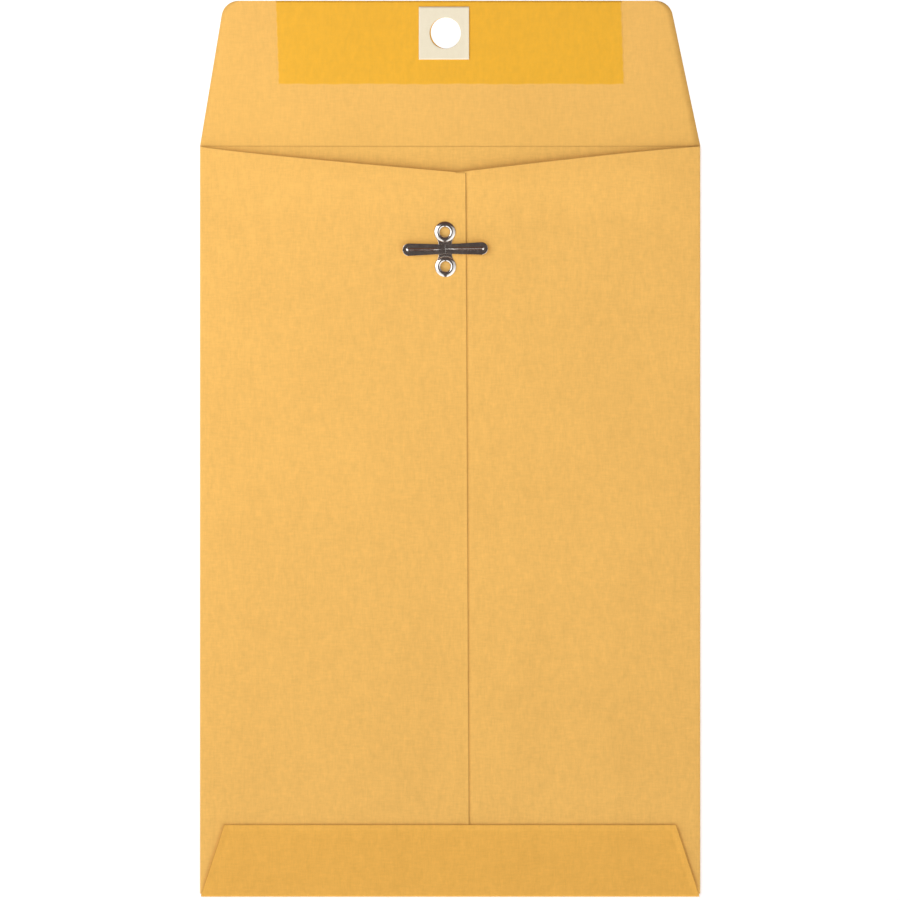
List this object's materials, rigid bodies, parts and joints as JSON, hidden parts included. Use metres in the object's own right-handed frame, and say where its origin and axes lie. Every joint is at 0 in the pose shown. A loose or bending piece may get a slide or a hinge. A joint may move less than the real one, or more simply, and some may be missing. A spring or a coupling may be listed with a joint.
{
  "type": "clasp envelope",
  "caption": "Flat kraft envelope with a centre seam, glued bottom flap, and a gummed closure flap with a patched hole that fastens over a bendable metal clasp.",
  "frame": {"origin": "middle of the front panel's outer face, which lies on the table", "axes": "+X across the envelope to its right as seen from the clasp side, +Y up it towards the closure flap, +Z up from the table through the clasp side"},
  "size_m": [0.1524, 0.273, 0.0027],
  "materials": {
    "kraft_paper": "uncoated brown kraft, faintly mottled",
    "dry_glue": "dried white glue",
    "gum": "dry remoistening gum with a soft sheen",
    "patch_paper": "smooth cream paper",
    "clasp_metal": "bright tinplate"
  },
  "bodies": {
    "envelope": {"front_panel": "kraft_paper", "left_back_panel": "kraft_paper", "right_back_panel": "kraft_paper", "bottom_flap": "kraft_paper", "seam_glue": "dry_glue", "bottom_flap_glue": "dry_glue", "clasp_base": "clasp_metal"},
    "flap": {"closure_flap": "kraft_paper", "flap_gum": "gum", "hole_patch": "patch_paper"},
    "left_prong": {"left_prong": "clasp_metal"},
    "right_prong": {"right_prong": "clasp_metal"}
  },
  "joints": [
    {"name": "flap_fold", "type": "hinge", "parent": "envelope", "child": "flap", "pos_m": [0, 0.1149, 0.00105], "axis": [1, 0, 0], "range_deg": [0, 180]},
    {"name": "left_prong_bend", "type": "hinge", "parent": "envelope", "child": "left_prong", "pos_m": [-0.00205, 0.08294, 0.00233], "axis": [-0.0175, 0.9998, 0], "range_deg": [0, 90]},
    {"name": "right_prong_bend", "type": "hinge", "parent": "envelope", "child": "right_prong", "pos_m": [-0.00095, 0.08296, 0.00233], "axis": [0.0175, -0.9998, 0], "range_deg": [0, 90]}
  ]
}
